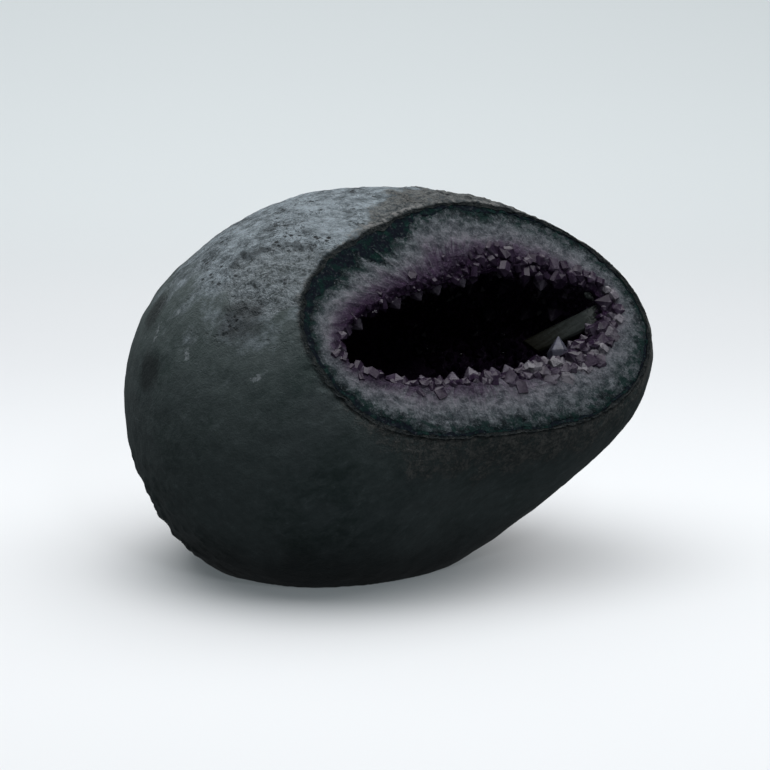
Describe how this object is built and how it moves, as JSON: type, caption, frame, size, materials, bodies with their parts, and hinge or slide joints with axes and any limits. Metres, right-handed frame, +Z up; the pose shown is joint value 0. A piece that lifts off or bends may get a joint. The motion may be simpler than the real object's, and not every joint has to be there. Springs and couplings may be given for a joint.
{
  "type": "geode half",
  "caption": "Egg-shaped amethyst geode with a flat foot, cut open by an oval window that shows its quartz band and crystal-lined hollow.",
  "frame": {"origin": "middle of the stone's bounding box in plan, on the surface its foot rests on", "axes": "+Z up; -Y is the front; the window looks to the front, up and towards +X; +X is along the long side"},
  "size_m": [0.2869, 0.2408, 0.2],
  "materials": {
    "rind": "matte, rough basalt rind under dark cement",
    "celadonite": "matte dark green mineral skin",
    "quartz": "cloudy translucent, cut and lightly polished",
    "amethyst": "glassy crystal faces",
    "clear_quartz": "glassy, near colourless",
    "calcite": "waxy, greenish grey"
  },
  "bodies": {
    "root": {"rind": "rind", "celadonite_skin": "celadonite", "quartz_band": "quartz", "amethyst_bed": "amethyst", "amethyst_point_01": "amethyst", "amethyst_point_02": "amethyst", "amethyst_point_03": "amethyst", "amethyst_point_04": "amethyst", "amethyst_point_05": "amethyst", "amethyst_point_06": "amethyst", "amethyst_point_07": "amethyst", "amethyst_point_08": "amethyst", "amethyst_point_09": "amethyst", "amethyst_point_10": "amethyst", "amethyst_point_11": "amethyst", "amethyst_point_12": "amethyst", "amethyst_point_13": "amethyst", "amethyst_point_14": "amethyst", "amethyst_point_15": "amethyst", "amethyst_point_16": "amethyst", "amethyst_point_17": "amethyst", "amethyst_point_18": "amethyst", "amethyst_point_19": "amethyst", "amethyst_point_20": "amethyst", "amethyst_point_21": "amethyst", "amethyst_point_22": "amethyst", "amethyst_point_23": "amethyst", "amethyst_point_24": "amethyst", "clear_point": "clear_quartz", "calcite_blade": "calcite", "calcite_stub": "calcite"}
  },
  "joints": []
}
